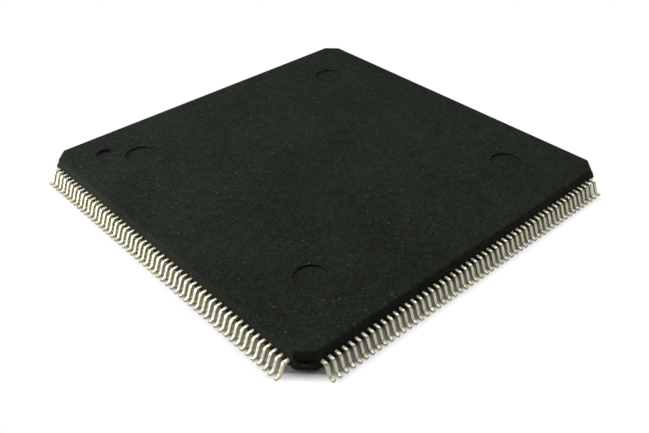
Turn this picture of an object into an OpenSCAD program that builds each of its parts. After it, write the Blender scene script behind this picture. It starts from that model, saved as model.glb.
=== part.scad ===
// Low-profile quad flat pack: a moulded chip package with a row of gull-wing leads on each side.
// Millimetres, +Z up. The origin is the centre of the footprint, on the plane the feet stand on.
// Pin 1 is at the -X, +Y corner and the pins count anticlockwise seen from above.

/* [Body] */
// Width of the moulded body across its parting band, the same both ways
body_w = 28; // [27.8:0.1:28.3]
// Clear height between the feet's plane and the body's underside
standoff = 0.15; // [0.05:0.01:0.2]
// Height of the body below the parting band
lower_h = 0.675; // [0.6:0.005:0.75]
// Height of the body above the parting band
upper_h = 0.625; // [0.6:0.005:0.75]
// Draft of the walls above and below the band, from upright
draft = 12; // [5:1:14]
// Leg of each corner chamfer above and below the parting band
corner_leg = 0.95; // [0.9:0.05:1]
// Leg of the thin rim that stays in each corner at the level of the leads
rim_leg = 0.72; // [0.65:0.01:0.85]

/* [Mould marks] */
// Diameter of the pin 1 dimple
dimple_d = 1.4; // [1:0.1:1.6]
// Depth of the pin 1 dimple
dimple_depth = 0.2; // [0.05:0.01:0.25]
// Distance of the dimple's centre from each centre line, before the marks' shift
dimple_at = 11.15; // [10.8:0.05:11.6]
// Diameter of the ejector pin marks
ejector_d = 2.3; // [1.5:0.1:2.6]
// Depth of the ejector pin marks
ejector_depth = 0.12; // [0.03:0.01:0.15]
// Half the distance between two ejector pin marks along a side
ejector_at = 9.3; // [8.8:0.1:9.4]
// How far the dimple and the ejector pin marks all sit off the middle, towards +X and towards +Y
marks_shift = 0.15; // [0:0.05:0.2]

/* [Leads] */
// Number of leads on each side
leads_per_side = 52; // [40:2:52]
// Spacing of the leads
pitch = 0.5; // [0.4:0.05:0.5]
// Width of a lead outside the body
lead_w = 0.22; // [0.17:0.01:0.24]
// Thickness of the lead frame
lead_t = 0.15; // [0.12:0.01:0.16]
// Size from the tips of one row's feet to the tips of the row opposite
span = 30; // [29.8:0.1:30.4]
// Flat length of each foot beyond its bend
foot_flat = 0.16; // [0.15:0.01:0.3]
// Radius on the inside of both bends
bend_r = 0.15; // [0.08:0.01:0.16]
// Lean of the shin from upright
shin_lean = 20; // [5:1:22]

/* [Lead frame inside the body] */
// Distance from the centre of the package to the inner tips of the leads
tip_at = 6.3; // [6.2:0.1:6.6]
// Spacing of the inner tips, which is also that of the pads on the chip
tip_pitch = 0.2; // [0.18:0.01:0.2]
// Width of the inner tips
tip_w = 0.11; // [0.08:0.01:0.12]
// Length of each inner tip that runs square to the chip
tip_straight = 0.3; // [0.2:0.05:0.4]
// Run of each lead that stays straight behind the body's wall
straight_in = 0.5; // [0.4:0.05:0.5]
// Width of the paddle that carries the chip
paddle_w = 11.6; // [11.5:0.1:11.8]
// Drop of the paddle below the plane of the leads
downset = 0.22; // [0.15:0.01:0.3]
// Width of the four tie bars
tie_bar_w = 0.35; // [0.25:0.05:0.4]
// Length of tie bar left standing out of each corner rim after trimming
tie_bar_stub = 0.03; // [0.01:0.01:0.1]
// Inner width of the tape that locks the leads side by side
tape_in = 17; // [16:0.5:18]
// Outer width of the tape
tape_out = 20; // [19.5:0.5:21]
// Thickness of the tape
tape_t = 0.07; // [0.05:0.01:0.1]

/* [Chip and bond wires] */
// Width of the silicon chip
chip_w = 10.8; // [10.6:0.1:11]
// Thickness of the silicon chip
chip_t = 0.3; // [0.25:0.01:0.35]
// Thickness of the bonding layer under the chip
attach_t = 0.03; // [0.02:0.01:0.05]
// How far the bonding layer spreads past each edge of the chip
attach_spread = 0.15; // [0.05:0.05:0.2]
// Distance of the bond pads from the edge of the chip
pad_inset = 0.1; // [0.08:0.01:0.12]
// Thickness of a bond wire
wire_t = 0.03; // [0.025:0.001:0.035]
// Height of the wire's kink above the chip
kink_h = 0.16; // [0.14:0.01:0.2]
// Diameter of the ball at the wire's chip end
ball_d = 0.07; // [0.06:0.005:0.08]
// Height of the ball
ball_h = 0.03; // [0.02:0.005:0.04]
// Length of the flattened end of the wire on its lead
stitch_l = 0.09; // [0.06:0.01:0.1]
// Width of the flattened end
stitch_w = 0.06; // [0.04:0.005:0.08]
// Thickness of the flattened end
stitch_h = 0.02; // [0.015:0.005:0.025]
// Distance from the lead's inner tip to where the wire lands
stitch_in = 0.08; // [0.06:0.01:0.12]

/* [Hidden] */
$fn = 64;

// Heights, from the feet's plane up
band_z = standoff + lower_h;        // underside of the leads where they leave the body
frame_top = band_z + lead_t;
top_z = frame_top + upper_h;
paddle_z = band_z - downset;
attach_z = paddle_z + lead_t;
chip_z = attach_z + attach_t;
chip_top = chip_z + chip_t;

// Distances out from the centre
half_w = body_w / 2;
corner_out = (body_w - corner_leg) / sqrt(2);   // to the middle of a corner chamfer
rim_out = (body_w - rim_leg) / sqrt(2);         // to the middle of a corner's rim
stub_end = half_w + 0.05;           // where the trimmed strip hands over to the formed lead
foot_at = span / 2 - foot_flat;     // where the foot's flat begins

// The formed lead: down through one bend, along the shin, and out through the other
turn = 90 - shin_lean;
shin_len = (band_z - (2 * bend_r + lead_t) * (1 - cos(turn))) / sin(turn);
formed_reach = (2 * bend_r + lead_t) * sin(turn) + shin_len * cos(turn);
shoulder_len = foot_at - formed_reach - stub_end;

// A bond wire: where it stands on the chip, where it lands, and the slope of its straight run
pad_at = chip_w / 2 - pad_inset;
landing_at = tip_at + stitch_in;
kink_z = chip_top + kink_h;
run_slope = atan((kink_z - frame_top - wire_t / 2) / (landing_at - pad_at));

body_black = [0.13, 0.14, 0.13];
tin = [0.80, 0.79, 0.72];
copper = [0.72, 0.45, 0.32];
silver_paste = [0.62, 0.62, 0.60];
silicon = [0.35, 0.36, 0.42];
amber = [0.78, 0.50, 0.16];
gold = [0.90, 0.72, 0.30];

// Place of lead i along its row, or of its inner tip with the tips' step
function along(i, step) = (i - (leads_per_side - 1) / 2) * step;

// Turns what is drawn for a row on the +X side to the row with this number, 0 to 3
module to_side(side) rotate([0, 0, 180 + 90 * side]) children();

// ---- moulded body -------------------------------------------------------------------------

// A bar along Y whose two long walls are drafted away from the parting band
module drafted_bar(half) {
    low = half - lower_h * tan(draft);
    high = half - upper_h * tan(draft);
    rotate([90, 0, 0])
        linear_extrude(height = 2 * body_w, center = true)
            polygon([[-low, standoff], [low, standoff], [half, band_z], [half, frame_top],
                [high, top_z], [-high, top_z], [-half, frame_top], [-half, band_z]]);
}

// The rim of resin that fills each corner at the leads' level, between the tie bar and the end leads
module corner_rims() {
    near = half_w - rim_leg;
    translate([0, 0, band_z])
        linear_extrude(height = lead_t)
            polygon([[half_w, near], [near, half_w], [-near, half_w], [-half_w, near],
                [-half_w, -near], [-near, -half_w], [near, -half_w], [half_w, -near]]);
}

// The outside of the moulding: the same drafted wall on all four sides and all four corners
module moulding() {
    intersection() {
        drafted_bar(half_w);
        rotate([0, 0, 90]) drafted_bar(half_w);
        rotate([0, 0, 45]) drafted_bar(corner_out);
        rotate([0, 0, 135]) drafted_bar(corner_out);
    }
    corner_rims();
}

// Round recesses that the ejector pins leave near the corners, on the face at this height
module ejector_marks(z) {
    for (sx = [-1, 1], sy = [-1, 1])
        translate([marks_shift + sx * ejector_at, marks_shift + sy * ejector_at, z - ejector_depth])
            cylinder(d = ejector_d, h = 2 * ejector_depth);
}

// A flat-bottomed recess whose wall leans out by 0.05 over its depth
module pin_1_dimple() {
    translate([marks_shift - dimple_at, marks_shift + dimple_at, top_z - dimple_depth])
        cylinder(d1 = dimple_d - 0.1, d2 = dimple_d + 0.1, h = 2 * dimple_depth);
}

module mould_body() {
    color(body_black)
        difference() {
            moulding();
            ejector_marks(top_z);
            ejector_marks(standoff);
            pin_1_dimple();
            for (side = [0:3]) {
                to_side(side) inner_row();
                to_side(side) wire_row();
            }
            paddle_and_bars();
            attach_layer();
            chip();
            tape_ring();
        }
}

// ---- leads --------------------------------------------------------------------------------

// The part of lead i inside the body: straight behind the wall, in towards the chip, square to it
module inner_lead(i) {
    out = along(i, pitch);
    tip = along(i, tip_pitch);
    bend_at = half_w - straight_in;
    fan_at = tip_at + tip_straight;
    translate([0, 0, band_z])
        linear_extrude(height = lead_t)
            polygon([[stub_end, out - lead_w / 2], [stub_end, out + lead_w / 2],
                [bend_at, out + lead_w / 2], [fan_at, tip + tip_w / 2], [tip_at, tip + tip_w / 2],
                [tip_at, tip - tip_w / 2], [fan_at, tip - tip_w / 2], [bend_at, out - lead_w / 2]]);
}

module inner_row() for (i = [0:leads_per_side - 1]) inner_lead(i);

// A straight length of lead strip, and then what follows it
module run(length) {
    cube([length, lead_w, lead_t]);
    translate([length, 0, 0]) children();
}

// A ring sector about the strip's width, from the angle `from` up by `sweep`, in the XZ plane
module strip_arc(from, sweep) {
    rotate([90, 0, 0])
        rotate([0, 0, from])
            rotate_extrude(angle = sweep)
                translate([bend_r, -lead_w]) square([lead_t, lead_w]);
}

// Bends the strip down by `angle`, and then what follows it
module bend_down(angle) {
    translate([0, 0, -bend_r]) {
        strip_arc(90 - angle, angle);
        rotate([0, angle, 0]) translate([0, 0, bend_r]) children();
    }
}

// Bends the strip back up by `angle`, and then what follows it
module bend_up(angle) {
    translate([0, 0, lead_t + bend_r]) {
        strip_arc(-90, angle);
        rotate([0, -angle, 0]) translate([0, 0, -lead_t - bend_r]) children();
    }
}

// One whole lead: the flat strip in the body and the gull wing outside it
module lead(i) {
    inner_lead(i);
    translate([stub_end, along(i, pitch) - lead_w / 2, band_z])
        run(shoulder_len) bend_down(turn) run(shin_len) bend_up(turn) run(foot_flat);
}

module lead_row(side) {
    color(tin) to_side(side) for (i = [0:leads_per_side - 1]) lead(i);
}

// ---- paddle and tie bars ------------------------------------------------------------------

// A tie bar along +X: level with the leads outside, stepping down at 45 degrees to the paddle
module tie_bar() {
    foot = paddle_w / sqrt(2) + 0.3;    // where the step starts, just past the paddle's corner
    end = rim_out + tie_bar_stub;
    rotate([90, 0, 0])
        linear_extrude(height = tie_bar_w, center = true)
            polygon([[0, paddle_z], [foot, paddle_z], [foot + downset, band_z], [end, band_z],
                [end, frame_top], [foot + downset, frame_top], [foot, attach_z], [0, attach_z]]);
}

module paddle_and_bars() {
    translate([-paddle_w / 2, -paddle_w / 2, paddle_z]) cube([paddle_w, paddle_w, lead_t]);
    for (a = [45:90:315]) rotate([0, 0, a]) tie_bar();
}

module die_paddle() {
    color(copper) paddle_and_bars();
}

// ---- chip, its bonding layer and the tape -------------------------------------------------

module attach_layer() {
    w = chip_w + 2 * attach_spread;
    translate([-w / 2, -w / 2, attach_z]) cube([w, w, attach_t]);
}

module die_attach() {
    color(silver_paste) attach_layer();
}

module chip() {
    translate([-chip_w / 2, -chip_w / 2, chip_z]) cube([chip_w, chip_w, chip_t]);
}

module silicon_die() {
    color(silicon) chip();
}

// A square ring of film bonded across the tops of the leads and the tie bars
module tape_ring() {
    translate([0, 0, frame_top])
        linear_extrude(height = tape_t)
            difference() {
                square(tape_out, center = true);
                square(tape_in, center = true);
            }
}

module lead_lock_tape() {
    color(amber) tape_ring();
}

// ---- bond wires ---------------------------------------------------------------------------

// Height of the wire's upper (+1) or lower (-1) face at this distance out, along its straight run
function wire_face(x, side) = kink_z - (x - pad_at) * tan(run_slope)
    + side * wire_t / 2 / cos(run_slope);

// One low-loop wire: up from its ball on the chip, kinked over, and straight down to its lead
module bond_wire() {
    near = pad_at - wire_t / 2;
    far = pad_at + wire_t / 2;
    land = landing_at - wire_t;
    rotate([90, 0, 0])
        linear_extrude(height = wire_t, center = true)
            polygon([[near, chip_top + ball_h / 2], [far, chip_top + ball_h / 2],
                [far, wire_face(far, -1)], [land, wire_face(land, -1)],
                [land, wire_face(land, 1)], [near, wire_face(near, 1)]]);
    translate([pad_at, 0, chip_top]) cylinder(d = ball_d, h = ball_h, $fn = 24);
    translate([land - wire_t, -stitch_w / 2, frame_top]) cube([stitch_l, stitch_w, stitch_h]);
}

module wire_row() {
    for (i = [0:leads_per_side - 1])
        translate([0, along(i, tip_pitch), 0]) bond_wire();
}

module bond_wires(side) {
    color(gold) to_side(side) wire_row();
}

mould_body();
lead_row(0);  // leads_1_to_52
lead_row(1);  // leads_53_to_104
lead_row(2);  // leads_105_to_156
lead_row(3);  // leads_157_to_208
die_paddle();
die_attach();
silicon_die();
lead_lock_tape();
bond_wires(0);  // bond_wires_1_to_52
bond_wires(1);  // bond_wires_53_to_104
bond_wires(2);  // bond_wires_105_to_156
bond_wires(3);  // bond_wires_157_to_208
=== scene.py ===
"""Dresses a low-profile quad flat pack chip: a moulded body with 52 formed leads on each side.

Metres throughout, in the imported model's own frame: +Z up, the feet stand on z = 0, pin 1 is in the
-X, +Y corner and the pins count anticlockwise from it. Small lengths are written as a number of MM.
"""

import logging
import math
import random
from dataclasses import dataclass
from enum import Enum
from typing import Any

import bmesh
import bpy
from mathutils import Matrix, Vector


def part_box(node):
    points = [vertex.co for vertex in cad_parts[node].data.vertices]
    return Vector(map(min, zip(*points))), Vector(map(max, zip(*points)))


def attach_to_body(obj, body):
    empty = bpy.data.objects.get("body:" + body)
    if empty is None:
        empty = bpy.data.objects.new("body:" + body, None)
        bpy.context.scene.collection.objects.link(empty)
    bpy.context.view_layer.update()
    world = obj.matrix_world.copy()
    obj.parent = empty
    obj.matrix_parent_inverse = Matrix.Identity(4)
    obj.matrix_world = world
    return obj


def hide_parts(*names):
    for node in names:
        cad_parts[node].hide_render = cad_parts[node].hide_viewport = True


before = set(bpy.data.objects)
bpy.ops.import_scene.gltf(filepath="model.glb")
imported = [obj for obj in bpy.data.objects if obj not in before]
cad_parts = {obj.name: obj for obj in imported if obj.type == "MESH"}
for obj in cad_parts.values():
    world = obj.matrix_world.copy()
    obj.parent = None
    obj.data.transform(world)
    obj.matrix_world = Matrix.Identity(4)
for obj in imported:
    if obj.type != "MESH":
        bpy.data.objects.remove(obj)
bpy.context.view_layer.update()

MM = 0.001
SEED = 208
BODY = "root"
TONE = "lead_tone"

# The inputs of a Map Range node, by number: its value, the span it is read on, and the new span.
VALUE, LOW, HIGH, TO_LOW, TO_HIGH = range(5)

log = logging.getLogger("chip")

Point = tuple[float, float]
Colour = tuple[float, float, float, float]
Corners = tuple[int, ...]
Piece = bpy.types.Object
Tree = bpy.types.NodeTree
Node = bpy.types.Node
Socket = bpy.types.NodeSocket


# ---- small helpers ------------------------------------------------------------------------------


def linear(code: str) -> Colour:
    """Turns a hex sRGB colour into linear light.

    Args:
        code: The colour as "#rrggbb".

    Returns:
        The linear colour with an alpha of 1.
    """
    parts = [int(code[i : i + 2], 16) / 255 for i in (1, 3, 5)]
    light = [c / 12.92 if c <= 0.04045 else ((c + 0.055) / 1.055) ** 2.4 for c in parts]
    return (light[0], light[1], light[2], 1.0)


def feed(tree: Tree, node: Node, inputs: dict[Any, Any]) -> None:
    """Sets or links some of a node's inputs.

    Args:
        tree: The node tree that it is in.
        node: The node.
        inputs: Input socket name or number, and the value it holds or the socket that feeds it.
    """
    for key, value in inputs.items():
        if isinstance(value, Socket):
            tree.links.new(value, node.inputs[key])
        else:
            node.inputs[key].default_value = value


def add(tree: Tree, kind: str, inputs: dict[Any, Any] | None = None, **settings: Any) -> Node:
    """Adds one node to a material or world.

    Args:
        tree: The node tree it goes into.
        kind: The node's type without "ShaderNode", such as "TexNoise".
        inputs: Input socket name or number, and the value it holds or the socket that feeds it.
        settings: The node's own settings.

    Returns:
        The new node.
    """
    made = tree.nodes.new("ShaderNode" + kind)
    for key, value in settings.items():
        setattr(made, key, value)
    feed(tree, made, inputs or {})
    return made


def blank(owner: bpy.types.Material | bpy.types.World) -> Tree:
    """Empties the node tree of a material or world.

    Args:
        owner: The material or world.

    Returns:
        Its empty node tree.
    """
    owner.use_nodes = True
    owner.node_tree.nodes.clear()
    return owner.node_tree


def put(name: str, data: bpy.types.ID) -> Piece:
    """Puts a mesh, a lamp or a camera in the scene.

    Args:
        name: The name of its object.
        data: The mesh, lamp or camera.

    Returns:
        The new object.
    """
    made = bpy.data.objects.new(name, data)
    bpy.context.scene.collection.objects.link(made)
    return made


def new_mesh(name: str, vertices: list[Vector], faces: list[Corners]) -> bpy.types.Mesh:
    """Makes a mesh from plain lists.

    Args:
        name: The mesh's name.
        vertices: The corners, in metres.
        faces: Corner numbers of each face.

    Returns:
        The new mesh.
    """
    mesh = bpy.data.meshes.new(name)
    mesh.from_pydata([tuple(v) for v in vertices], [], faces)
    mesh.validate()
    return mesh


def smooth(piece: Piece, angle: float) -> None:
    """Shades a piece smooth, but keeps edges sharp that turn by more than an angle in degrees."""
    piece.data.shade_smooth()
    piece.data.set_sharp_from_angle(angle=math.radians(angle))


def closed(bm: bmesh.types.BMesh, ring: list[bmesh.types.BMVert]) -> list[bmesh.types.BMEdge]:
    """Lists the edges that join a ring of vertices in turn and close it."""
    return [bm.edges.get(pair) for pair in zip(ring, ring[1:] + ring[:1])]


def fillet(before: Point, corner: Point, after: Point, radius: float, steps: int) -> list[Point]:
    """Rounds one corner of a profile.

    Args:
        before: The profile's point before the corner.
        corner: The sharp corner.
        after: The point after it.
        radius: Radius of the rounding.
        steps: Number of straight pieces in the arc.

    Returns:
        The points of the arc, from the side of `before` to the side of `after`.
    """
    a, b, c = (Vector(p) for p in (before, corner, after))
    u, v = (a - b).normalized(), (c - b).normalized()
    half = u.angle(v) / 2
    reach = radius / math.tan(half)
    centre = b + (u + v).normalized() * (radius / math.sin(half))
    start, end = b + u * reach - centre, b + v * reach - centre
    sweep = start.angle_signed(end)
    turned = [Matrix.Rotation(-sweep * i / steps, 2) @ start for i in range(steps + 1)]
    return [tuple(centre + t) for t in turned]


# ---- finishes -----------------------------------------------------------------------------------


@dataclass(frozen=True)
class Finish:
    """What every finish has: a material with one Principled shader, dressed by its own method."""

    name: str
    slot: str

    def material(self) -> bpy.types.Material:
        """Builds the material.

        Returns:
            The finished material.
        """
        made = bpy.data.materials.new(self.name)
        tree = blank(made)
        shader = add(tree, "BsdfPrincipled")
        add(tree, "OutputMaterial", {"Surface": shader.outputs[0]})
        self.dress(tree, shader, add(tree, "TexCoord").outputs["Object"])
        return made

    def dress(self, tree: Tree, shader: Node, where: Socket) -> None:
        """Adds the finish's own nodes.

        Args:
            tree: The material's node tree.
            shader: Its Principled shader.
            where: The point on the piece, in metres.
        """
        raise NotImplementedError


@dataclass(frozen=True)
class MouldCompound(Finish):
    """Black silica-filled epoxy, moulded.

    Where the cavity is spark-eroded, it leaves tiny craters that kill the shine, so the black reads
    as a soft grey-green. Resin and filler part a little as they flow, which mottles the hue. Filler
    grains that lie at the surface show as sparse paler specks. Real craters are about 0.05 mm wide
    and the largest filler grains 0.08 mm; both are drawn two to three times as coarse, so that they
    can be seen.
    """

    dark: str = "#080c08"
    light: str = "#263024"
    warm: str = "#252320"
    speck: str = "#424a3d"
    crater: float = 0.15 * MM
    crater_share: float = 0.80
    mottle: float = 0.7 * MM
    mottle_share: float = 0.8
    cloud: float = 5.0 * MM
    cloud_share: float = 0.20
    speck_cell: float = 0.40 * MM
    speck_heart: float = 0.10
    speck_edge: float = 0.24
    speck_rarity: float = 0.72
    depth: float = 0.012 * MM
    relief: float = 0.9
    smoothest: float = 0.84
    roughest: float = 1.0
    gloss: float = 0.12

    def dress(self, tree: Tree, shader: Node, where: Socket) -> None:
        """Adds craters, mottled hue, cloudy patches and filler specks to the shader.

        Args:
            tree: The material's node tree.
            shader: Its Principled shader.
            where: The point on the piece, in metres.
        """
        grain = add(
            tree,
            "TexNoise",
            {"Vector": where, "Scale": 1 / self.crater, "Detail": 3.0, "Roughness": 0.6},
        ).outputs[0]
        mottle = add(
            tree,
            "TexNoise",
            {"Vector": where, "Scale": 1 / self.mottle, "Detail": 3.0, "Roughness": 0.6},
        ).outputs[0]
        cloud = add(
            tree,
            "TexNoise",
            {"Vector": where, "Scale": 1 / self.cloud, "Detail": 4.0, "Roughness": 0.55},
        ).outputs[0]
        shade = add(
            tree,
            "MapRange",
            {VALUE: grain, LOW: 0.36, HIGH: 0.64, TO_HIGH: self.crater_share},
        )
        drift = add(
            tree,
            "MapRange",
            {VALUE: cloud, LOW: 0.35, HIGH: 0.65, TO_HIGH: self.cloud_share},
        )
        both = add(tree, "Math", {0: shade.outputs[0], 1: drift.outputs[0]}, operation="ADD")
        hue = add(
            tree,
            "MapRange",
            {VALUE: mottle, LOW: 0.42, HIGH: 0.62, TO_HIGH: self.mottle_share},
        )
        pale = add(
            tree,
            "Mix",
            {0: hue.outputs[0], "A": linear(self.light), "B": linear(self.warm)},
            data_type="RGBA",
        )
        base = add(
            tree,
            "Mix",
            {0: both.outputs[0], "A": linear(self.dark), "B": pale.outputs["Result"]},
            data_type="RGBA",
        )
        # A speck has its full tone up to its heart and none beyond its edge, as shares of a cell.
        # Only the cells whose random value is above the rarity have one.
        cells = add(tree, "TexVoronoi", {"Vector": where, "Scale": 1 / self.speck_cell})
        near = add(
            tree,
            "MapRange",
            {
                VALUE: cells.outputs["Distance"],
                LOW: self.speck_heart,
                HIGH: self.speck_edge,
                TO_LOW: 1.0,
                TO_HIGH: 0.0,
            },
        )
        chance = add(tree, "SeparateColor", {0: cells.outputs["Color"]}).outputs[0]
        chosen = add(tree, "MapRange", {VALUE: chance, LOW: self.speck_rarity, HIGH: 1.0})
        speckle = add(
            tree,
            "Math",
            {0: near.outputs[0], 1: chosen.outputs[0]},
            operation="MULTIPLY",
        )
        colour = add(
            tree,
            "Mix",
            {0: speckle.outputs[0], "A": base.outputs["Result"], "B": linear(self.speck)},
            data_type="RGBA",
        )
        rough = add(
            tree,
            "MapRange",
            {VALUE: grain, LOW: 0.3, HIGH: 0.7, TO_LOW: self.smoothest, TO_HIGH: self.roughest},
        )
        bump = add(
            tree,
            "Bump",
            {"Height": grain, "Distance": self.depth, "Strength": self.relief},
        )
        inputs = {
            "Base Color": colour.outputs["Result"],
            "Roughness": rough.outputs[0],
            "Specular IOR Level": self.gloss,
            "Normal": bump.outputs[0],
        }
        feed(tree, shader, inputs)


@dataclass(frozen=True)
class TinPlate(Finish):
    """Satin electroplated tin over stamped copper alloy.

    The plating is a warm grey-white with a fine crystalline grain that spreads its highlights.
    Leads differ a little in tone, and stains dull the plating in patches. The crystals are drawn
    about ten times as coarse as real ones, which are about 0.005 mm, so that they can be seen.
    """

    bright: str = "#d6d3bb"
    dull: str = "#b3af96"
    crystal: float = 0.05 * MM
    stain: float = 0.6 * MM
    stain_share: float = 0.6
    tone_share: float = 0.4
    depth: float = 0.002 * MM
    relief: float = 0.6
    smoothest: float = 0.34
    roughest: float = 0.50

    def dress(self, tree: Tree, shader: Node, where: Socket) -> None:
        """Adds the crystalline grain, the stains and the tone of each lead.

        Args:
            tree: The material's node tree.
            shader: Its Principled shader.
            where: The point on the piece, in metres.
        """
        tone = add(tree, "Attribute", attribute_name=TONE).outputs["Fac"]
        crystal = add(
            tree,
            "TexNoise",
            {"Vector": where, "Scale": 1 / self.crystal, "Detail": 2.0},
        ).outputs[0]
        stain = add(
            tree,
            "TexNoise",
            {"Vector": where, "Scale": 1 / self.stain, "Detail": 3.0},
        ).outputs[0]
        spread = add(
            tree,
            "MapRange",
            {VALUE: stain, LOW: 0.3, HIGH: 0.7, TO_HIGH: self.stain_share},
        )
        share = add(
            tree,
            "Math",
            {0: tone, 1: self.tone_share, 2: spread.outputs[0]},
            operation="MULTIPLY_ADD",
        )
        colour = add(
            tree,
            "Mix",
            {0: share.outputs[0], "A": linear(self.bright), "B": linear(self.dull)},
            data_type="RGBA",
        )
        rough = add(
            tree,
            "MapRange",
            {VALUE: crystal, LOW: 0.3, HIGH: 0.7, TO_LOW: self.smoothest, TO_HIGH: self.roughest},
        )
        bump = add(
            tree,
            "Bump",
            {"Height": crystal, "Distance": self.depth, "Strength": self.relief},
        )
        inputs = {
            "Base Color": colour.outputs["Result"],
            "Roughness": rough.outputs[0],
            "Metallic": 1.0,
            "Normal": bump.outputs[0],
        }
        feed(tree, shader, inputs)


@dataclass(frozen=True)
class CopperStrip(Finish):
    """Rolled copper alloy strip.

    Rolling leaves fine lines that run one way and draw the highlights out across them, and heat in
    the moulding press leaves a thin brown tarnish in patches. The trimmed stubs at the corners of
    the body are bare to the air and have gone nearly black. Real rolling lines are about 0.01 mm
    apart; they are drawn three times as coarse, so that they can be seen.
    """

    clean: str = "#c98d66"
    tarnish: str = "#8f5f45"
    aged: str = "#25221f"
    aged_from: float = 18.5 * MM
    line: float = 0.03 * MM
    line_squash: float = 0.03
    patch: float = 0.8 * MM
    depth: float = 0.001 * MM
    relief: float = 0.5
    smoothest: float = 0.28
    roughest: float = 0.45

    def dress(self, tree: Tree, shader: Node, where: Socket) -> None:
        """Adds rolling lines, tarnish and the dark ends of the stubs.

        Args:
            tree: The material's node tree.
            shader: Its Principled shader.
            where: The point on the piece, in metres.
        """
        along = add(tree, "Mapping", {"Vector": where, "Scale": (self.line_squash, 1.0, 1.0)})
        lines = add(
            tree,
            "TexNoise",
            {"Vector": along.outputs[0], "Scale": 1 / self.line, "Detail": 2.0},
        ).outputs[0]
        patch = add(
            tree,
            "TexNoise",
            {"Vector": where, "Scale": 1 / self.patch, "Detail": 4.0},
        ).outputs[0]
        share = add(tree, "MapRange", {VALUE: patch, LOW: 0.35, HIGH: 0.7})
        colour = add(
            tree,
            "Mix",
            {0: share.outputs[0], "A": linear(self.clean), "B": linear(self.tarnish)},
            data_type="RGBA",
        )
        level = add(tree, "VectorMath", {0: where, 1: (1.0, 1.0, 0.0)}, operation="MULTIPLY")
        reach = add(tree, "VectorMath", {0: level.outputs[0]}, operation="LENGTH")
        outer = add(
            tree,
            "Math",
            {0: reach.outputs["Value"], 1: self.aged_from},
            operation="GREATER_THAN",
        )
        worn = add(
            tree,
            "Mix",
            {0: outer.outputs[0], "A": colour.outputs["Result"], "B": linear(self.aged)},
            data_type="RGBA",
        )
        rough = add(
            tree,
            "MapRange",
            {VALUE: lines, LOW: 0.3, HIGH: 0.7, TO_LOW: self.smoothest, TO_HIGH: self.roughest},
        )
        bump = add(
            tree,
            "Bump",
            {"Height": lines, "Distance": self.depth, "Strength": self.relief},
        )
        inputs = {
            "Base Color": worn.outputs["Result"],
            "Roughness": rough.outputs[0],
            "Metallic": 1.0,
            "Normal": bump.outputs[0],
        }
        feed(tree, shader, inputs)


@dataclass(frozen=True)
class Sealed(Finish):
    """A plain material, mostly sealed in: one colour that drifts to another, as its gloss does.

    The drift's width is `grain`. Where the real grain is finer than that, it is drawn as coarse as
    it needs to show.
    """

    light: str
    dark: str
    grain: float
    smoothest: float
    roughest: float
    metallic: float = 0.0

    def dress(self, tree: Tree, shader: Node, where: Socket) -> None:
        """Adds the drift of colour and gloss.

        Args:
            tree: The material's node tree.
            shader: Its Principled shader.
            where: The point on the piece, in metres.
        """
        grain = add(
            tree,
            "TexNoise",
            {"Vector": where, "Scale": 1 / self.grain, "Detail": 3.0},
        ).outputs[0]
        share = add(tree, "MapRange", {VALUE: grain, LOW: 0.35, HIGH: 0.65})
        colour = add(
            tree,
            "Mix",
            {0: share.outputs[0], "A": linear(self.light), "B": linear(self.dark)},
            data_type="RGBA",
        )
        rough = add(
            tree,
            "MapRange",
            {VALUE: grain, LOW: 0.3, HIGH: 0.7, TO_LOW: self.smoothest, TO_HIGH: self.roughest},
        )
        inputs = {
            "Base Color": colour.outputs["Result"],
            "Roughness": rough.outputs[0],
            "Metallic": self.metallic,
        }
        feed(tree, shader, inputs)


# Epoxy moulded against a spark-eroded cavity: grainy and matt, a soft grey-green black.
MOULD_COMPOUND = MouldCompound("spark_eroded_epoxy", "mould_compound")

# The same epoxy moulded against the end of a polished pin, on the floor of the pin 1 dimple: smooth,
# so it catches a soft glint. Its colours are darker than the matt face's: painted shade in the
# hollow.
PIN_POLISHED_PAINTED_SHADE = MouldCompound(
    "pin_polished_epoxy",
    "mould_compound",
    dark="#070908",
    light="#171c18",
    warm="#181618",
    speck="#20241f",
    depth=0.003 * MM,
    smoothest=0.42,
    roughest=0.55,
)

# Tin electroplated on the leads before they are formed: warm grey-white, with a satin sheen.
TIN_PLATE = TinPlate("satin_tin_plate", "tinned_lead")

# Copper alloy cut off by a punch, which smears the tin over the cut: duller, browner and rougher.
SHEARED_END = Sealed(
    "sheared_tin_smeared_end",
    "tinned_lead",
    light="#a9a393",
    dark="#857d6d",
    grain=0.06 * MM,
    smoothest=0.42,
    roughest=0.60,
    metallic=1.0,
)

# Copper alloy rolled to strip: pinkish brown, with fine lines and brown patches.
COPPER_STRIP = CopperStrip("rolled_copper_strip", "copper_strip")

# Epoxy filled with silver flakes, dispensed and cured: pale grey, with a weak metallic shimmer.
SILVER_RESIN = Sealed(
    "silver_filled_resin",
    "silver_filled_resin",
    light="#b9b8b2",
    dark="#8d8c87",
    grain=0.05 * MM,
    smoothest=0.40,
    roughest=0.60,
    metallic=0.6,
)

# Silicon sawn from a polished wafer: blue-grey, and nearly a mirror.
SILICON = Sealed(
    "polished_silicon",
    "silicon",
    light="#5c6070",
    dark="#484b58",
    grain=0.40 * MM,
    smoothest=0.10,
    roughest=0.18,
    metallic=0.5,
)

# Polyimide cast as film: an even orange-brown with a clean gloss.
POLYIMIDE = Sealed(
    "polyimide_film",
    "polyimide_tape",
    light="#b9762a",
    dark="#a8651f",
    grain=1.20 * MM,
    smoothest=0.22,
    roughest=0.32,
)

# Gold drawn through dies to fine wire: bright yellow, and smooth enough for a sharp glint.
GOLD_WIRE = Sealed(
    "drawn_gold_wire",
    "gold_wire",
    light="#e6bf6a",
    dark="#d3a54e",
    grain=0.02 * MM,
    smoothest=0.18,
    roughest=0.30,
    metallic=1.0,
)


# ---- the moulded body ---------------------------------------------------------------------------


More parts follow.
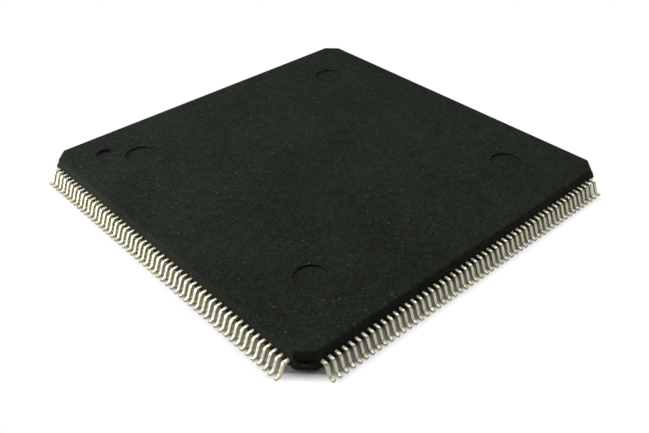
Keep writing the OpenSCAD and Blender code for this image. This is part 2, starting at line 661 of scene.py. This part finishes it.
class Turn(Enum):
    """Which way a flat face of the body looks."""

    UP = 1
    DOWN = -1


@dataclass
class Mark:
    """A round flat-bottomed mark sunk in a flat face, with a rounded lip and a wall that leans out.

    The last `floor_rings` rings of its profile, from the foot of the wall inwards, are its floor.
    """

    centre: Point
    radius: float
    depth: float
    lean: float = 0.01 * MM
    # A polished mark's floor takes the polished finish, whose darker colour is painted shade.
    polished_painted_shade: bool = False
    lip: float = 0.02 * MM
    sides: int = 64
    floor_rings: int = 3

    def profile(self) -> list[Point]:
        """Gives the mark's section.

        Returns:
            Pairs of distance from the axis and depth below the face, from outside in.
        """
        outside = [(self.radius + 2 * self.lip, 0.0), (self.radius + self.lip, 0.0)]
        lip = [
            (self.radius + self.lip * (1 - math.sin(a)), self.lip * (1 - math.cos(a)))
            for a in (math.radians(d) for d in (30, 60, 90))
        ]
        foot = self.radius - self.lean
        floor = [
            (foot, self.depth - self.lip),
            (foot - self.lip, self.depth),
            (foot - 3 * self.lip, self.depth),
        ]
        return outside + lip + floor


@dataclass
class Level:
    """One ring of the body's wall: its inset from the band, its height, and if it has the rim."""

    inset: float
    up: float
    rim: bool = False


@dataclass
class MouldedBody:
    """The body as one closed skin, with the radii that the mould leaves on its edges.

    The band is the widest part of the wall, around the plane where the mould's halves meet. The
    flash there leaves a thin rim across each corner's chamfer.
    """

    draft: float = math.radians(12)
    corner_leg: float = 0.95 * MM
    corner_radius: float = 0.25 * MM
    corner_steps: int = 6
    rim_leg: float = 0.72 * MM
    rim_radius: float = 0.08 * MM
    rim_edge: float = 0.01 * MM
    band_low: float = 0.825 * MM
    band_high: float = 0.975 * MM
    top_edge: float = 0.09 * MM
    bottom_edge: float = 0.10 * MM
    edge_steps: int = 5
    flat_border: float = 0.3 * MM
    ejector_at: float = 9.3 * MM
    ejector_radius: float = 1.15 * MM
    ejector_depth: float = 0.12 * MM
    dimple_at: float = 11.15 * MM
    dimple_radius: float = 0.70 * MM
    dimple_depth: float = 0.20 * MM
    dimple_lean: float = 0.05 * MM
    marks_shift: float = 0.15 * MM
    sharp_from: float = 50.0

    def __post_init__(self) -> None:
        """Takes the body's reach and heights from its node."""
        low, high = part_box("mould_body")
        self.half = (high[0] - low[0]) / 2
        self.floor, self.top = low[2], high[2]
        self.corner_out = (2 * self.half - self.corner_leg) / math.sqrt(2)
        self.rim_out = (2 * self.half - self.rim_leg) / math.sqrt(2)

    def outline(self, level: Level) -> list[Point]:
        """Gives the body's outline at one level: eight walls, with their corners rounded.

        Args:
            level: How far the walls lie inside the band, and whether the corners carry their rim.

        Returns:
            The outline's points, anticlockwise from +X.
        """
        r = self.rim_radius if level.rim else self.corner_radius
        corner = self.rim_out if level.rim else self.corner_out
        reach = [self.half - level.inset - r, corner - level.inset - r]
        points = []
        for k in range(8):
            a, b = math.radians(45 * k), math.radians(45 * (k + 1))
            here, after = reach[k % 2], reach[(k + 1) % 2]
            side = (after - here * math.cos(b - a)) / math.sin(b - a)
            cx = here * math.cos(a) - side * math.sin(a)
            cy = here * math.sin(a) + side * math.cos(a)
            for i in range(self.corner_steps + 1):
                t = a + (b - a) * i / self.corner_steps
                points.append((cx + r * math.cos(t), cy + r * math.sin(t)))
        return points

    def section(self) -> list[Level]:
        """Gives the wall's section from the underside up to the top face.

        Returns:
            The levels, from the lowest up.
        """
        slope = math.tan(self.draft)
        low_in = (self.band_low - self.floor) * slope
        high_in = (self.top - self.band_high) * slope
        flat = 1 * MM  # any length along the flat face gives the fillet its direction
        below = fillet(
            (low_in + flat, self.floor),
            (low_in, self.floor),
            (0.0, self.band_low),
            self.bottom_edge,
            self.edge_steps,
        )
        above = fillet(
            (0.0, self.band_high),
            (high_in, self.top),
            (high_in + flat, self.top),
            self.top_edge,
            self.edge_steps,
        )
        return [
            Level(low_in + self.flat_border, self.floor),
            *(Level(*p) for p in below),
            Level(0.0, self.band_low),
            Level(0.0, self.band_low + self.rim_edge, rim=True),
            Level(0.0, self.band_high - self.rim_edge, rim=True),
            Level(0.0, self.band_high),
            *(Level(*p) for p in above),
            Level(high_in + self.flat_border, self.top),
        ]

    def marks(self, turn: Turn) -> list[Mark]:
        """Lists the marks on one flat face: four ejector pins, and on top the pin 1 dimple.

        Args:
            turn: Which way the face looks.

        Returns:
            The face's marks.
        """
        shift = self.marks_shift
        places = [shift + end * self.ejector_at for end in (-1, 1)]
        found = [
            Mark((x, y), self.ejector_radius, self.ejector_depth) for x in places for y in places
        ]
        if turn is Turn.UP:
            dimple = Mark(
                (shift - self.dimple_at, shift + self.dimple_at),
                self.dimple_radius,
                self.dimple_depth,
                self.dimple_lean,
                polished_painted_shade=True,
            )
            found.append(dimple)
        return found

    def sink(
        self, bm: bmesh.types.BMesh, mark: Mark, level: float, turn: Turn
    ) -> list[bmesh.types.BMEdge]:
        """Builds one mark below a flat face.

        Args:
            bm: The body's mesh.
            mark: The mark.
            level: Height of the face.
            turn: Which way the face looks.

        Returns:
            The edges of the mark's outer ring, for the face to meet.
        """
        cx, cy = mark.centre
        angles = [2 * math.pi * i / mark.sides for i in range(mark.sides)]
        rings = []
        for radius, depth in mark.profile():
            z = level - depth * turn.value
            rings.append(
                [
                    bm.verts.new((cx + radius * math.cos(a), cy + radius * math.sin(a), z))
                    for a in angles
                ]
            )
        inside = len(rings) - mark.floor_rings
        for k, (outer, inner) in enumerate(zip(rings, rings[1:])):
            for i in range(mark.sides):
                j = (i + 1) % mark.sides
                quad = [outer[i], outer[j], inner[j], inner[i]]
                face = bm.faces.new(quad if turn is Turn.UP else quad[::-1])
                # A polished mark's floor takes the polished finish, whose darker colour is painted
                # shade.
                face.material_index = int(mark.polished_painted_shade and k >= inside)
        floor = bm.faces.new(rings[-1] if turn is Turn.UP else rings[-1][::-1])
        floor.material_index = int(mark.polished_painted_shade)
        return closed(bm, rings[0])

    def build(self) -> Piece:
        """Builds the body's mesh and dresses it.

        Returns:
            The piece.
        """
        bm = bmesh.new()
        rings = [
            [bm.verts.new((x, y, level.up)) for x, y in self.outline(level)]
            for level in self.section()
        ]
        count = len(rings[0])
        for below, above in zip(rings, rings[1:]):
            for i in range(count):
                j = (i + 1) % count
                bm.faces.new([below[i], below[j], above[j], above[i]])
        for ring, height, turn in (
            (rings[-1], self.top, Turn.UP),
            (rings[0], self.floor, Turn.DOWN),
        ):
            edges = closed(bm, ring)
            for mark in self.marks(turn):
                edges += self.sink(bm, mark, height, turn)
            bmesh.ops.triangle_fill(bm, edges=edges, use_beauty=True, normal=(0, 0, turn.value))
        bmesh.ops.recalc_face_normals(bm, faces=bm.faces[:])
        mesh = bpy.data.meshes.new("moulded_body")
        bm.to_mesh(mesh)
        bm.free()
        return self.dress(mesh)

    def dress(self, mesh: bpy.types.Mesh) -> Piece:
        """Gives the body its finishes and its place in the model.

        Args:
            mesh: The body's mesh, with the polished faces, in painted shade, under material number
                1.

        Returns:
            The piece.
        """
        mesh.materials.append(MOULD_COMPOUND.material())
        # The polished finish is darker than the matt one: painted shade on the dimple's floor.
        mesh.materials.append(PIN_POLISHED_PAINTED_SHADE.material())
        piece = put(mesh.name, mesh)
        smooth(piece, self.sharp_from)
        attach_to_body(piece, BODY)
        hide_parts("mould_body")
        return piece


# ---- the leads ----------------------------------------------------------------------------------


class Side(Enum):
    """The four sides, by the node of their row: how far each is turned from the +X side."""

    leads_1_to_52 = 180
    leads_53_to_104 = 270
    leads_105_to_156 = 0
    leads_157_to_208 = 90


@dataclass
class Station:
    """One place along a lead: where the strip's middle is, how steeply it falls, and its width."""

    out: float
    up: float
    fall: float
    across: float
    width: float


@dataclass
class LeadRow:
    """One side's leads: stamped strips with rolled-over upper edges, formed to gull wings."""

    side: Side
    tin: bpy.types.Material
    sheared: bpy.types.Material
    count: int = 52
    pitch: float = 0.5 * MM
    width: float = 0.22 * MM
    thickness: float = 0.15 * MM
    bend_radius: float = 0.15 * MM
    bend_steps: int = 9
    lean: float = math.radians(20)
    foot_flat: float = 0.16 * MM
    straight_in: float = 0.5 * MM
    tip_pitch: float = 0.2 * MM
    tip_width: float = 0.11 * MM
    tip_straight: float = 0.3 * MM
    toe_bevel: float = 0.008 * MM
    toe_drift: float = 0.010 * MM
    rolled_edge: float = 0.035 * MM
    rolled_steps: int = 3
    burr_edge: float = 0.012 * MM
    burr_steps: int = 1
    sharp_from: float = 40.0

    def __post_init__(self) -> None:
        """Takes the reach of the row from its node, and the wall's place from the body's."""
        low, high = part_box(self.side.name)
        ends = [abs(v) for v in (low[0], low[1], high[0], high[1])]
        self.toe = max(ends)
        self.tip = min(ends[0], ends[2]) if self.side.value % 180 == 0 else min(ends[1], ends[3])
        self.top = high[2]
        self.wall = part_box("mould_body")[1][0]

    def stations(self, index: int, drift: float) -> list[Station]:
        """Lays out the strip's middle line for one lead, from its inner tip to its toe.

        Args:
            index: The lead's number along the row, from 0.
            drift: How far the toe lies to one side.

        Returns:
            The stations along the lead.
        """
        place = index - (self.count - 1) / 2
        out, tip = place * self.pitch, place * self.tip_pitch
        middle, base = self.top - self.thickness / 2, self.thickness / 2
        found = [
            Station(self.tip, middle, 0.0, tip, self.tip_width),
            Station(self.tip + self.tip_straight, middle, 0.0, tip, self.tip_width),
            Station(self.wall - self.straight_in, middle, 0.0, out, self.width),
        ]
        sealed = len(found)
        r = self.bend_radius + self.thickness / 2
        turn = math.pi / 2 - self.lean
        rise = middle - base
        shin = (rise - 2 * r * (1 - math.cos(turn))) / math.sin(turn)
        foot = self.toe - self.foot_flat
        knee = foot - 2 * r * math.sin(turn) - shin * math.cos(turn)
        for i in range(self.bend_steps + 1):
            a = turn * i / self.bend_steps
            along, drop = r * math.sin(a), r * (1 - math.cos(a))
            found.append(Station(knee + along, middle - drop, a, out, self.width))
        for i in range(self.bend_steps + 1):
            a = turn * (1 - i / self.bend_steps)
            along, drop = r * math.sin(a), r * (1 - math.cos(a))
            found.append(Station(foot - along, base + drop, a, out, self.width))
        found.append(Station(self.toe - self.toe_bevel, base, 0.0, out, self.width))
        found.append(Station(self.toe, base, 0.0, out, self.width - 2 * self.toe_bevel))
        first = found[sealed].out
        for s in found[sealed:]:
            s.across += drift * (s.out - first) / (self.toe - first)
        return found

    def ring(self, s: Station) -> list[Vector]:
        """Gives the strip's section at a station: rolled over above, nearly sharp below.

        Args:
            s: The station.

        Returns:
            The section's points, anticlockwise seen from the toe.
        """
        w, t = s.width / 2, self.thickness / 2
        flat = []
        for y, z, start, radius, steps in (
            (w, t, 0, self.rolled_edge, self.rolled_steps),
            (-w, t, 90, self.rolled_edge, self.rolled_steps),
            (-w, -t, 180, self.burr_edge, self.burr_steps),
            (w, -t, 270, self.burr_edge, self.burr_steps),
        ):
            cy, cz = y - math.copysign(radius, y), z - math.copysign(radius, z)
            for i in range(steps + 1):
                a = math.radians(start + 90 * i / steps)
                flat.append((cy + radius * math.cos(a), cz + radius * math.sin(a)))
        sin, cos = math.sin(s.fall), math.cos(s.fall)
        return [Vector((s.out + z * sin, s.across + y, s.up + z * cos)) for y, z in flat]

    def build(self) -> Piece:
        """Builds the row as one mesh, and dresses it.

        Returns:
            The piece.
        """
        draw = random.Random(SEED + self.side.value)
        vertices: list[Vector] = []
        faces: list[Corners] = []
        tones: list[float] = []
        ends: list[int] = []
        turned = Matrix.Rotation(math.radians(self.side.value), 3, "Z")
        for index in range(self.count):
            tone = draw.random()
            drift = draw.uniform(-1, 1) * self.toe_drift
            rings = [self.ring(s) for s in self.stations(index, drift)]
            first, around = len(vertices), len(rings[0])
            for ring in rings:
                vertices += [turned @ v for v in ring]
            for k in range(len(rings) - 1):
                a, b = first + k * around, first + (k + 1) * around
                for i in range(around):
                    j = (i + 1) % around
                    faces.append((a + i, b + i, b + j, a + j))
            faces.append(tuple(first + i for i in range(around)))
            last = first + (len(rings) - 1) * around
            ends.append(len(faces))
            faces.append(tuple(last + i for i in reversed(range(around))))
            tones += [tone] * (len(faces) - len(tones))
        mesh = new_mesh(f"formed_{self.side.name}", vertices, faces)
        bm = bmesh.new()
        bm.from_mesh(mesh)
        bmesh.ops.recalc_face_normals(bm, faces=bm.faces[:])
        bm.to_mesh(mesh)
        bm.free()
        return self.dress(mesh, tones, ends)

    def dress(self, mesh: bpy.types.Mesh, tones: list[float], ends: list[int]) -> Piece:
        """Gives the row its finishes and its place in the model.

        Args:
            mesh: The row's mesh.
            tones: The tone of each face, which is the same all over a lead.
            ends: The numbers of the sheared faces at the toes.

        Returns:
            The piece.
        """
        shade = mesh.attributes.new(TONE, "FLOAT", "FACE")
        shade.data.foreach_set("value", tones)
        mesh.materials.append(self.tin)
        mesh.materials.append(self.sheared)
        for number in ends:
            mesh.polygons[number].material_index = 1
        piece = put(mesh.name, mesh)
        smooth(piece, self.sharp_from)
        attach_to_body(piece, BODY)
        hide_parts(self.side.name)
        return piece


# ---- what the mould seals in --------------------------------------------------------------------


@dataclass
class SealedWorks:
    """What the mould seals in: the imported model's own nodes, each dressed in its finish."""

    paddle: Finish = COPPER_STRIP
    attach: Finish = SILVER_RESIN
    chip: Finish = SILICON
    tape: Finish = POLYIMIDE
    wires: Finish = GOLD_WIRE

    def finishes(self) -> dict[str, Finish]:
        """Gives the finish of each sealed node.

        Returns:
            The finishes by the node's name.
        """
        found = {
            "die_paddle": self.paddle,
            "die_attach": self.attach,
            "silicon_die": self.chip,
            "lead_lock_tape": self.tape,
        }
        for side in Side:
            found[side.name.replace("leads", "bond_wires")] = self.wires
        return found

    def dress(self) -> None:
        """Gives each sealed node the material of its finish."""
        made = {}
        for name, finish in self.finishes().items():
            if finish.name not in made:
                made[finish.name] = finish.material()
            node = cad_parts[name]
            node.data.materials.clear()
            node.data.materials.append(made[finish.name])
            log.info("%s: %s", name, finish.name)


# ---- the room -----------------------------------------------------------------------------------


@dataclass
class View:
    """The camera: where it stands, which way it looks and its lens, in mm as its sensor's width."""

    place: tuple[float, float, float] = (-32.783 * MM, -36.431 * MM, 32.482 * MM)
    azimuth: float = math.radians(42.159)
    height: float = math.radians(36.263)
    roll: float = math.radians(-0.444)
    lens: float = 44.63
    sensor: float = 36.0
    near: float = 1 * MM
    far: float = 10.0

    def build(self) -> None:
        """Puts the camera in the scene and makes it the scene's own."""
        a, e = self.azimuth, self.height
        forward = Vector((math.sin(a) * math.cos(e), math.cos(a) * math.cos(e), -math.sin(e)))
        level = Vector((math.cos(a), -math.sin(a), 0.0))
        upright = level.cross(forward)
        right = math.cos(self.roll) * level + math.sin(self.roll) * upright
        up = -math.sin(self.roll) * level + math.cos(self.roll) * upright
        turn = Matrix((right, up, -forward)).transposed().to_4x4()
        data = bpy.data.cameras.new("camera")
        data.sensor_width, data.lens = self.sensor, self.lens
        data.clip_start, data.clip_end = self.near, self.far
        camera = put("camera", data)
        camera.matrix_world = Matrix.Translation(self.place) @ turn
        bpy.context.scene.camera = camera


@dataclass
class Lamp:
    """A square soft box that looks at the chip's middle, placed by azimuth, height and distance.

    The angles are in degrees, the distance and size in metres and the power in watts.
    """

    name: str
    azimuth: float
    height: float
    distance: float
    size: float
    power: float

    def build(self) -> None:
        """Puts the lamp in the scene."""
        a, e = math.radians(self.azimuth), math.radians(self.height)
        towards = Vector((math.cos(a) * math.cos(e), math.sin(a) * math.cos(e), math.sin(e)))
        data = bpy.data.lights.new(self.name, "AREA")
        data.shape, data.size, data.energy = "SQUARE", self.size, self.power
        turn = towards.to_track_quat("Z", "Y").to_matrix().to_4x4()
        lamp = put(self.name, data)
        lamp.matrix_world = Matrix.Translation(towards * self.distance) @ turn


@dataclass
class Studio:
    """A white floor with low walls, under a faint even sky and three soft boxes.

    The strongest soft box stands beyond the +Y side. The floor shows as plain white from the toes
    outwards, which is a square whose corners are cut, and keeps the soft shadow under the body.
    """

    floor_size: float = 2.0
    backdrop: float = 0.4
    floor_colour: str = "#bebebc"
    fibre_colour: str = "#ffffff"
    fibre: float = 0.4 * MM
    glow: float = 1.0
    glow_from: float = 14.65 * MM
    glow_full: float = 15.35 * MM
    corner_cut: float = 4.35 * MM
    sky: float = 0.12
    lamps: tuple[Lamp, ...] = (
        Lamp("key", 72, 61, 0.30, 0.20, 0.52),
        Lamp("left", 143, 17, 0.072, 0.04, 0.056),
        Lamp("right", -10, 51, 0.30, 0.14, 0.29),
    )

    def build(self) -> None:
        """Builds the floor, the lamps and the surroundings, and sets how colours are shown."""
        self.lay_floor()
        for lamp in self.lamps:
            lamp.build()
        world = bpy.data.worlds.new("surroundings")
        bpy.context.scene.world = world
        tree = blank(world)
        grey = add(tree, "Background", {"Color": (1, 1, 1, 1), "Strength": self.sky})
        add(tree, "OutputWorld", {"Surface": grey.outputs[0]})
        bpy.context.scene.view_settings.view_transform = "Standard"

    def lay_floor(self) -> None:
        """Builds the floor with a low upright wall along each side."""
        half = self.floor_size / 2
        turns = ((-1, -1), (1, -1), (1, 1), (-1, 1))
        corners = [Vector((x * half, y * half, z)) for z in (0.0, self.backdrop) for x, y in turns]
        walls = [((i + 1) % 4, i, i + 4, (i + 1) % 4 + 4) for i in range(4)]
        floor = put("white_floor", new_mesh("white_floor", corners, [(0, 1, 2, 3)] + walls))
        floor.data.materials.append(self.paper())

    def paper(self) -> bpy.types.Material:
        """Makes the floor's paper: matt, pale and faintly fibrous, as pressed pulp is.

        To the camera and in what reflects or lets it through, it turns to plain white beyond the
        toes. Everywhere else it is lit and shaded as paper.

        Returns:
            The material.
        """
        made = bpy.data.materials.new("white_paper")
        tree = blank(made)
        where = add(tree, "TexCoord").outputs["Object"]
        fibre = add(tree, "TexNoise", {"Vector": where, "Scale": 1 / self.fibre, "Detail": 3.0})
        tint = add(
            tree,
            "Mix",
            {
                0: fibre.outputs[0],
                "A": linear(self.floor_colour),
                "B": linear(self.fibre_colour),
            },
            data_type="RGBA",
        )
        matt = add(tree, "BsdfDiffuse", {"Color": tint.outputs["Result"]})
        path = add(tree, "LightPath")
        seen = add(
            tree,
            "Math",
            {0: path.outputs["Is Camera Ray"], 1: path.outputs["Is Glossy Ray"]},
            operation="MAXIMUM",
        )
        passed = add(
            tree,
            "Math",
            {0: seen.outputs[0], 1: path.outputs["Is Transmission Ray"]},
            operation="MAXIMUM",
        )
        # How far out the point lies, measured square to the nearest side or to the cut corner.
        apart = add(tree, "VectorMath", {0: where}, operation="ABSOLUTE")
        axes = add(tree, "SeparateXYZ", {0: apart.outputs[0]})
        aside = add(tree, "Math", {0: axes.outputs[0], 1: axes.outputs[1]}, operation="MAXIMUM")
        both = add(tree, "Math", {0: axes.outputs[0], 1: axes.outputs[1]}, operation="ADD")
        corner = add(
            tree,
            "Math",
            {0: both.outputs[0], 1: math.sqrt(0.5), 2: -self.corner_cut},
            operation="MULTIPLY_ADD",
        )
        away = add(tree, "Math", {0: aside.outputs[0], 1: corner.outputs[0]}, operation="MAXIMUM")
        clear = add(
            tree,
            "MapRange",
            {VALUE: away.outputs[0], LOW: self.glow_from, HIGH: self.glow_full},
        )
        share = add(
            tree,
            "Math",
            {0: passed.outputs[0], 1: clear.outputs[0]},
            operation="MULTIPLY",
        )
        glow = add(tree, "Emission", {"Color": (1, 1, 1, 1), "Strength": self.glow})
        total = add(
            tree,
            "MixShader",
            {0: share.outputs[0], 1: matt.outputs[0], 2: glow.outputs[0]},
        )
        add(tree, "OutputMaterial", {"Surface": total.outputs[0]})
        return made


# ---- the whole chip -----------------------------------------------------------------------------


def main() -> None:
    """Builds the camera, the chip and the studio."""
    logging.basicConfig(level=logging.INFO, format="%(name)s: %(message)s")
    View().build()
    body = MouldedBody().build()
    log.info("%s: %d faces", body.name, len(body.data.polygons))
    tin, sheared = TIN_PLATE.material(), SHEARED_END.material()
    for side in Side:
        row = LeadRow(side, tin, sheared).build()
        log.info("%s: %d faces", row.name, len(row.data.polygons))
    SealedWorks().dress()
    Studio().build()


if __name__ == "__main__":
    main()
